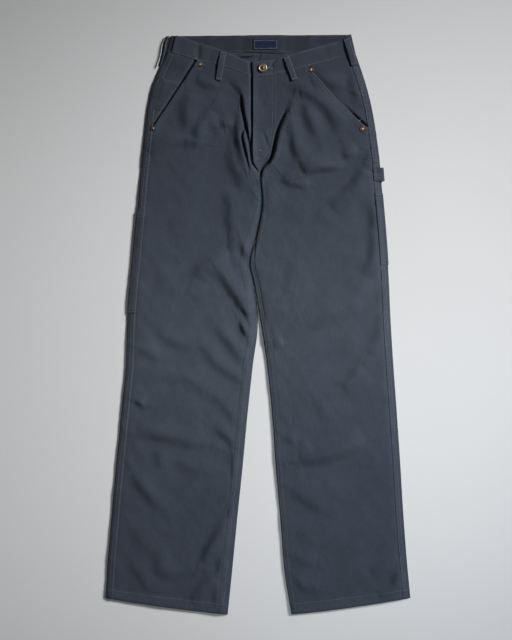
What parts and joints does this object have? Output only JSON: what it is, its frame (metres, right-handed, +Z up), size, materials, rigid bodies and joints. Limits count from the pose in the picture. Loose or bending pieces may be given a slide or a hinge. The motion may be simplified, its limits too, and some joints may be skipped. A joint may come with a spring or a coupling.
{
  "type": "carpenter pants",
  "caption": "Straight-leg work trousers lying flat face up, with slanted pockets, tool pockets, a hammer loop and a buttoned waistband.",
  "frame": {"origin": "centre of the pants' outline on the surface that they lie on", "axes": "+Z up from the surface, +Y from the hems to the waist, +X towards the wearer's left leg"},
  "size_m": [0.594, 1.13, 0.0124],
  "materials": {
    "twill": "washed cotton twill",
    "label": "woven satin",
    "brass": "brushed, slightly dulled",
    "copper": "dulled copper"
  },
  "bodies": {
    "root": {"front_right": "twill", "front_left": "twill", "back_right": "twill", "back_left": "twill", "waistband_back": "twill", "waistband_front_right": "twill", "waistband_front_left": "twill", "pocket_facing_right": "twill", "pocket_facing_left": "twill", "coin_pocket": "twill", "tool_pocket_right": "twill", "tool_pocket_left": "twill", "hammer_loop": "twill", "belt_loop_front_right": "twill", "belt_loop_front_left": "twill", "belt_loop_side_right": "twill", "belt_loop_side_left": "twill", "belt_loop_back": "twill", "waist_label": "label", "waist_button": "brass", "waist_button_centre": "copper", "rivet_right_upper": "copper", "rivet_right_lower": "copper", "rivet_left_upper": "copper", "rivet_left_lower": "copper"}
  },
  "joints": []
}
